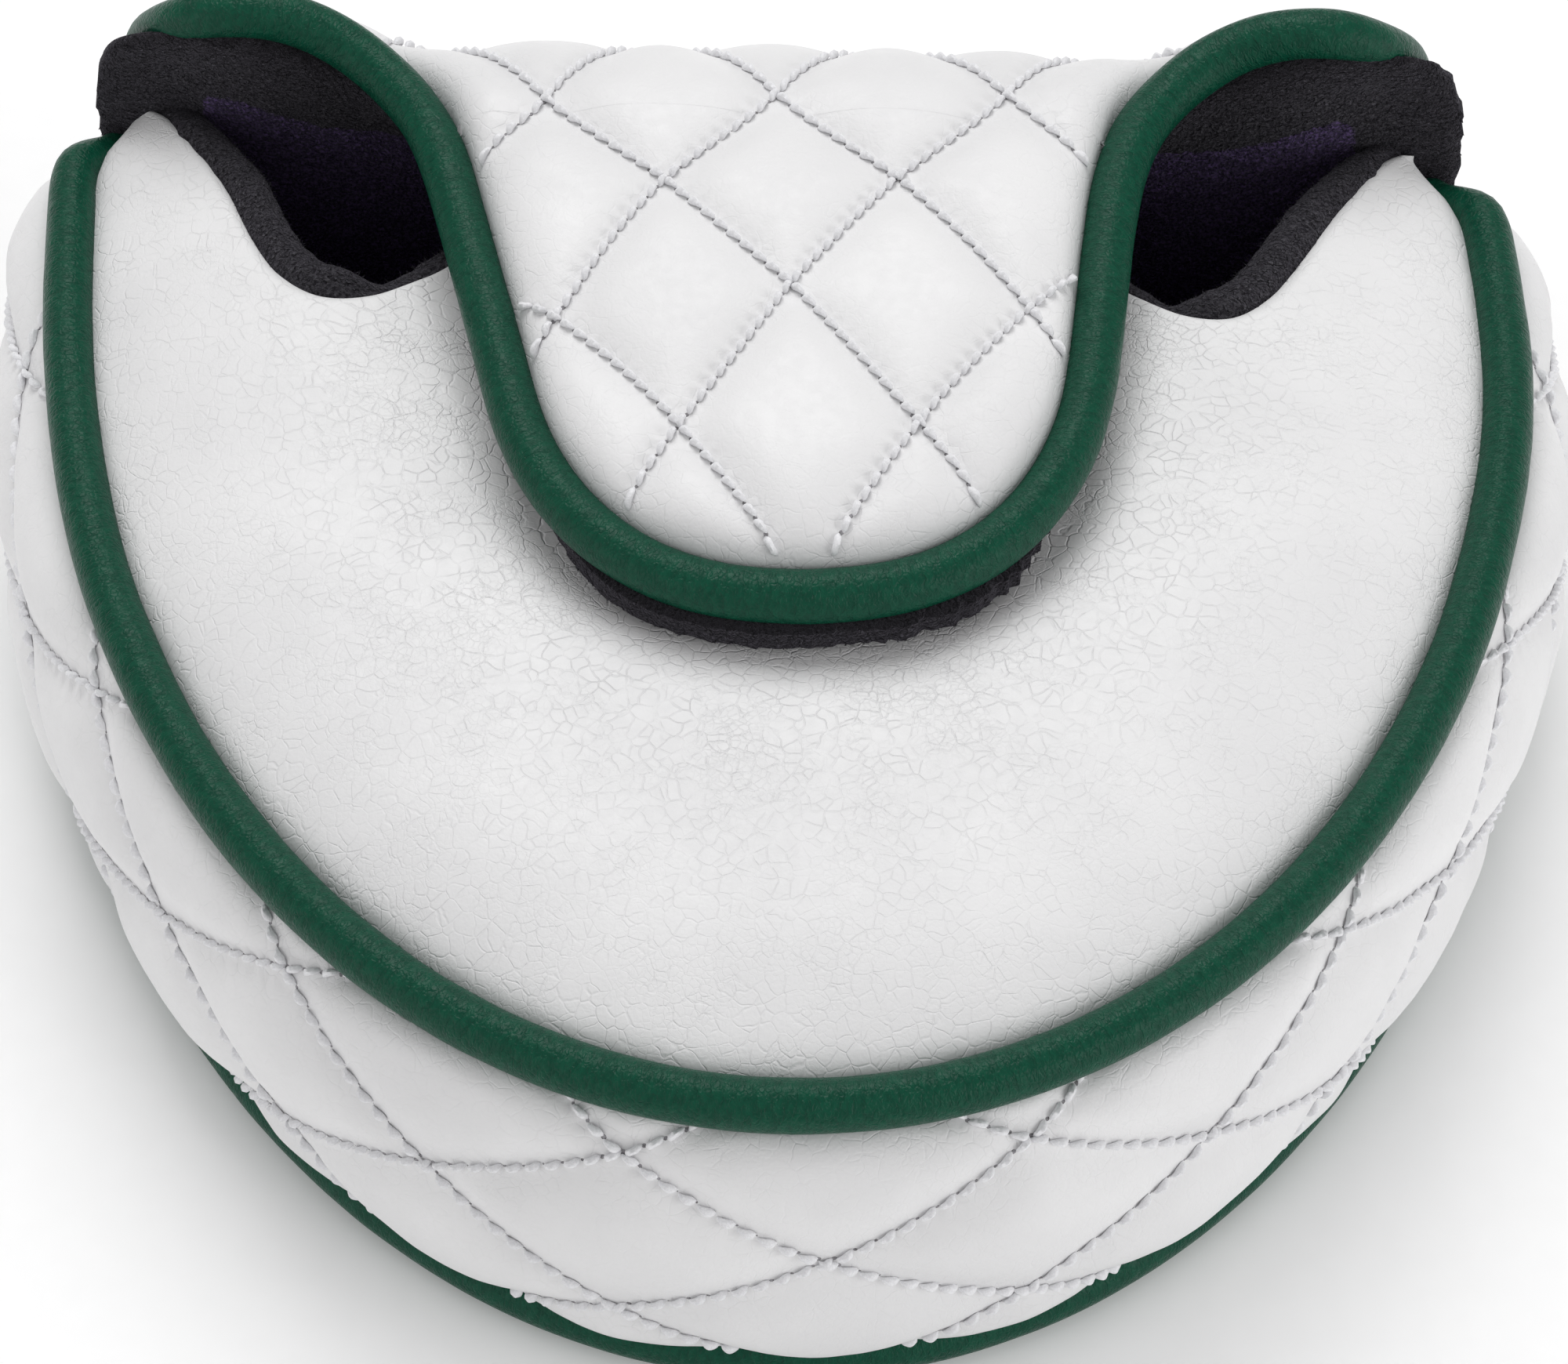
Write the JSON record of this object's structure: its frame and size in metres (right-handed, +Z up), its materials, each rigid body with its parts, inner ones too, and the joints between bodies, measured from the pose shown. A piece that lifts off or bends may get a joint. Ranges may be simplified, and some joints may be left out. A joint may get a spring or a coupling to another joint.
{
  "type": "putter head cover",
  "caption": "Padded leather cover for a mallet putter head, with piped seams, a quilted side wall and a fold-over quilted tongue.",
  "frame": {"origin": "on the resting plane, under the middle of the cover's box", "axes": "+X to the right, +Y towards the mouth, +Z up"},
  "size_m": [0.1324, 0.1128, 0.0512],
  "materials": {
    "smooth_leather": "fine-grained white leather",
    "quilted_leather": "white leather, quilted in diamonds",
    "piping_leather": "dark green satin leather",
    "fleece": "charcoal fleece",
    "padding": "open-cell foam",
    "filler_cord": "twisted cotton",
    "magnet_cloth": "nonwoven cloth",
    "magnet_metal": "nickel plating",
    "quilting_thread": "twisted white thread"
  },
  "bodies": {
    "pocket": {"bottom_skin": "smooth_leather", "bottom_foam": "padding", "bottom_lining": "fleece", "bottom_piping": "piping_leather", "bottom_piping_cord": "filler_cord", "gusset_skin": "quilted_leather", "gusset_foam": "padding", "gusset_lining": "fleece", "gusset_edge_roll_left": "fleece", "gusset_edge_roll_right": "fleece", "top_piping": "piping_leather", "top_piping_cord": "filler_cord", "top_skin": "smooth_leather", "top_foam": "padding", "top_lining": "fleece", "mouth_roll": "fleece", "panel_magnets": "magnet_metal", "panel_magnet_cups": "magnet_cloth"},
    "riser": {"riser_skin": "quilted_leather", "riser_foam": "padding", "riser_lining": "fleece", "riser_piping_left": "piping_leather", "riser_piping_right": "piping_leather", "riser_cord_left": "filler_cord", "riser_cord_right": "filler_cord"},
    "tongue": {"tongue_skin": "quilted_leather", "tongue_foam": "padding", "tongue_lining": "fleece", "tongue_piping": "piping_leather", "tongue_piping_cord": "filler_cord", "tongue_magnets": "magnet_metal", "tongue_magnet_cups": "magnet_cloth"}
  },
  "joints": [
    {"name": "riser_hinge", "type": "hinge", "parent": "pocket", "child": "riser", "pos_m": [0, 0.05439, 0.00205], "axis": [-1, 0, 0], "range_deg": [0, 80]},
    {"name": "tongue_hinge", "type": "hinge", "parent": "riser", "child": "tongue", "pos_m": [0, 0.04044, 0.0488], "axis": [-1, 0, 0], "range_deg": [0, 95]}
  ]
}
